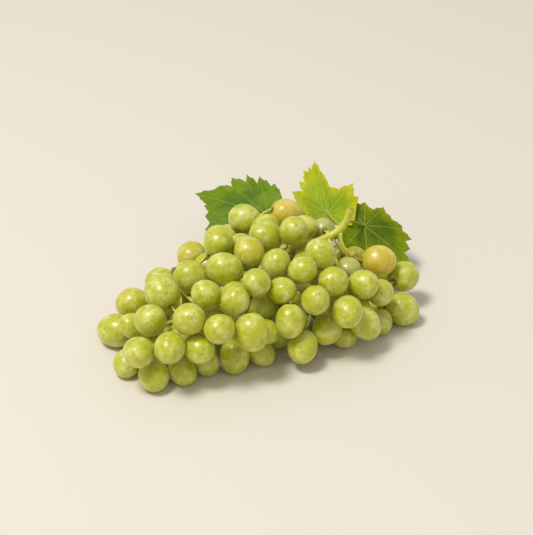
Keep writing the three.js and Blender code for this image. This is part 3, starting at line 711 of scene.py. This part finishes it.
def toothed_edge(outline):
    """The edge of a blade in its flat: each stretch from a notch to a tooth is a line, hollowed by a
    sine towards the sharp tip.  A stretch over 7 mm also has one or two small teeth near the notch,
    each of which rises slowly and drops at once."""
    angle = np.radians([a for a, _ in outline])
    radius = np.array([r for _, r in outline]) * MM
    corner = np.stack([radius * np.cos(angle), radius * np.sin(angle)], 1)
    following = np.roll(corner, -1, 0)
    t = np.arange(TOOTH_STEPS)[None, :, None] / TOOTH_STEPS
    span = following - corner
    outward = np.stack([span[:, 1], -span[:, 0]], 1)
    rising = (np.linalg.norm(following, axis=1) > np.linalg.norm(corner, axis=1))[:, None, None]
    teeth = np.clip(np.linalg.norm(span, axis=1)[:, None, None] // (7 * MM), 0, 2)
    from_notch = np.where(rising, t, 1 - t)
    saw = np.where(from_notch < TOOTHED_SHARE, (from_notch / TOOTHED_SHARE * teeth) % 1, 0)
    small = saw * SMALL_TOOTH / np.maximum(teeth, 1)
    hollow = -TIP_HOLLOW * np.sin(math.pi * np.clip(2 * from_notch - 1, 0, 1))
    return (corner[:, None] + span[:, None] * t + outward[:, None] * (small + hollow)).reshape(-1, 2)


def rib_lines(leaf, edge):
    """The ribs as (start, end, width) pieces in the flat of the blade: one from the middle towards
    each named tooth, and side ribs off it at 42 degrees that stop short of the next main rib."""
    reach_at = np.linalg.norm(edge, axis=1)
    edge_angle = np.arctan2(edge[:, 1], edge[:, 0])
    starts, ends, widths = [], [], []
    for angle in np.radians(leaf["ribs"]):
        way = np.array([math.cos(angle), math.sin(angle)])
        near = np.abs((edge_angle - angle + math.pi) % (2 * math.pi) - math.pi).argmin()
        length = reach_at[near] * 0.98
        starts.append(way * 0)
        ends.append(way * length)
        widths.append(RIB_WIDTH)
        for k, share in enumerate(SIDE_RIB_FEET):
            for side in (-1, 1):
                turn = angle + side * SIDE_RIB_TURN
                side_way = np.array([math.cos(turn), math.sin(turn)])
                foot = share + 0.04 * side * (k % 2)
                starts.append(way * length * foot)
                ends.append(starts[-1] + side_way * length * SIDE_RIB_REACH * (1.05 - share))
                widths.append(SIDE_RIB_WIDTH)
    return np.array(starts), np.array(ends), np.array(widths)


def line_marks(flat, starts, ends, widths):
    """For each flat point: how much it lies on a rib, as a bell of its distance over the rib's width,
    which narrows to a third at the end, and 0.4 of that for a side rib; and its distance to the
    nearest rib."""
    span = ends - starts
    offset = flat[:, None] - starts
    share = np.clip((offset * span).sum(2) / (span**2).sum(1), 0, 1)
    distance = np.linalg.norm(offset - share[..., None] * span, axis=2)
    width = widths * (1 - 0.67 * share)
    return (fade(distance, width) * (0.4 + 0.6 * (widths > SIDE_RIB_WIDTH))).max(1), distance.min(1)


def blade(leaf, seed):
    """A closed thin blade.  A flat point (p, q) lies at centre + p tip + q side, less the cup's depth
    times its squared distance over the blade's reach, then up by the puff between ribs, down at the
    ribs, with a slow wave towards the edge, and back from any berry that it would touch."""
    edge = toothed_edge(leaf["outline"])
    spokes = len(edge)
    reach = max(r for _, r in leaf["outline"]) * MM
    calm = edge.copy()
    for _ in range(CALM_ROUNDS):
        calm = (np.roll(calm, 1, 0) + 2 * calm + np.roll(calm, -1, 0)) / 4
    share = ((np.arange(BLADE_RINGS) + 1) / BLADE_RINGS)[:, None, None]
    flat = share * (calm * (1 - share**3) + edge * share**3)
    flat = np.concatenate([flat.reshape(-1, 2), [[0, 0]]])
    rib, gap = line_marks(flat, *rib_lines(leaf, edge))
    face = np.array(leaf["face"]) / np.linalg.norm(leaf["face"])
    tip = np.array(leaf["tip"]) - np.dot(leaf["tip"], face) * face
    tip /= np.linalg.norm(tip)
    side = np.cross(face, tip)
    centre = np.array(leaf["centre"]) * MM + SHIFT
    far = np.linalg.norm(flat, axis=1) / reach
    turn = np.arctan2(flat[:, 1], flat[:, 0])
    rng = np.random.default_rng(seed)
    wave = sum(WAVE * np.sin(k * turn + rng.uniform(0, 6)) for k in (3, 5, 8)) * far**2
    height = -leaf["cup"] * MM * far**2 + PUFF * (1 - fade(gap, PUFF_REACH)) + wave
    middle = centre + flat[:, :1] * tip + flat[:, 1:] * side + height[:, None] * face
    back = np.zeros(len(middle))
    for _ in range(RETREAT_ROUNDS):
        touching = outness(middle - back[:, None] * face, BERRY_ROOM).min(1) < 1
        if not touching.any():
            break
        back += RETREAT * touching
        ringed = back[:-1].reshape(BLADE_RINGS, spokes)
        spread = (np.roll(ringed, 1, 1) + np.roll(ringed, -1, 1)) / 2
        spread[1:-1] = (spread[1:-1] + (ringed[2:] + ringed[:-2]) / 2) / 2
        back[:-1] = np.maximum(ringed, spread).ravel()
        back[-1] = max(back[-1], back[:spokes].mean())
    middle -= back[:, None] * face
    half = BLADE_THICKNESS / 2 * (1 - 0.6 * np.append(np.repeat(share.ravel() ** 10, spokes), 0))
    upper = middle + (half - RIB_SUNK * rib)[:, None] * face
    lower = middle - (half + RIB_RAISED * rib)[:, None] * face
    grid_up = upper[:-1].reshape(BLADE_RINGS, spokes, 3)[::-1].reshape(-1, 3)
    points = np.concatenate([lower[:-1], grid_up, lower[-1:], upper[-1:]])
    turned = rib[:-1].reshape(BLADE_RINGS, spokes)[::-1].ravel()
    rim = np.repeat(share.ravel(), spokes)
    values = {
        "rib": np.concatenate([rib[:-1], turned, rib[-1:], rib[-1:]]),
        "rim": np.concatenate([rim, rim.reshape(BLADE_RINGS, spokes)[::-1].ravel(), [0, 0]]),
        "under": np.concatenate([np.ones(len(flat) - 1), np.zeros(len(flat) - 1), [1, 0]]),
    }
    return points, closed_grid(2 * BLADE_RINGS, spokes), values


RIB_PALE, UNDER_DULL = (0.62, 0.66, 0.20, 1), (0.36, 0.44, 0.16, 1)


def leaf_green(name, dark, light, edge):
    """Green between paler ribs: clouds of light on dark, dark where the ribs meet and another green
    towards the teeth, over a net of the finest ribs; a dull pale green underneath."""
    made = plain_material(name, dark[:3], 0.45)
    tree = made.node_tree
    shader = tree.nodes["Principled BSDF"]
    clouds = place_group(tree, blotches, Size_per_metre=55.0, Low=0.38, High=0.66)
    fine = place_group(tree, blotches, Size_per_metre=500.0, Low=0.35, High=0.7)
    colour = blend_colour(tree, clouds, dark, light)
    colour = blend_colour(tree, remap(tree, attribute(tree, "rim"), 0.0, 0.5, 0.7, 0), colour, dark)
    colour = blend_colour(tree, remap(tree, attribute(tree, "rim"), 0.55, 1.0, 0, 0.6), colour, edge)
    spot = add(tree, "ShaderNodeTexCoord")
    placed = {"Vector": spot.outputs["Object"], "Scale": 420.0}
    cells = add(tree, "ShaderNodeTexVoronoi", placed, feature="DISTANCE_TO_EDGE")
    net = remap(tree, cells.outputs["Distance"], 0.0, 0.12, 1.0, 0.0)
    colour = blend_colour(tree, remap(tree, net, 0, 1, 0, 0.22), colour, light)
    colour = blend_colour(tree, remap(tree, fine, 0, 1, 0, 0.18), colour, dark)
    pale_rib = tuple(0.45 * c + 0.55 * p for c, p in zip(light, RIB_PALE))
    colour = blend_colour(tree, remap(tree, attribute(tree, "rib"), 0.15, 1.0, 0, 0.6), colour, pale_rib)
    dull = blend_colour(tree, 0.55, colour, UNDER_DULL)
    colour = blend_colour(tree, attribute(tree, "under"), colour, dull)
    tree.links.new(colour, shader.inputs["Base Color"])
    tree.links.new(remap(tree, attribute(tree, "under"), 0, 1, 0.40, 0.75), shader.inputs["Roughness"])
    grain = add(tree, "ShaderNodeBump", {"Height": net, "Strength": 0.35, "Distance": 0.0002})
    grain.invert = True
    tree.links.new(grain.outputs[0], shader.inputs["Normal"])
    shader.inputs["Specular IOR Level"].default_value = 0.14
    shader.inputs["Subsurface Weight"].default_value = 0.1
    shader.inputs["Subsurface Radius"].default_value = (0.5, 1.0, 0.1)
    shader.inputs["Subsurface Scale"].default_value = 0.001
    return made


for seed, (name, leaf) in enumerate(LEAVES.items()):
    stalk_route = np.array(leaf["stalk"]) * MM + SHIFT
    foot = main_route[np.linalg.norm(main_route - stalk_route[-1], axis=1).argmin()]
    stalk_route = even_route(np.vstack([stalk_route, foot]), LEAF_STALK_STEPS, 12)
    stalk_way = np.linspace(0, 1, LEAF_STALK_STEPS)
    stalk_width = (0.8 + 0.4 * stalk_way + 0.7 * fade(1 - stalk_way, 0.09)) * MM
    stalk = tubes(stalk_route[None], stalk_width[None], LEAF_STALK_SPOKES, dome=0.3)
    nothing = np.zeros(len(stalk[0]))
    stalk_values = {"rib": nothing + 0.8, "rim": nothing, "under": nothing}
    points, faces, values = join([blade(leaf, seed), (stalk[0], stalk[1], stalk_values)])
    green = leaf_green(name + "_green", *leaf["greens"])
    piece = mesh_object(name + "_blade", points, faces, green, values)
    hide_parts(name)
    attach(piece, "root")
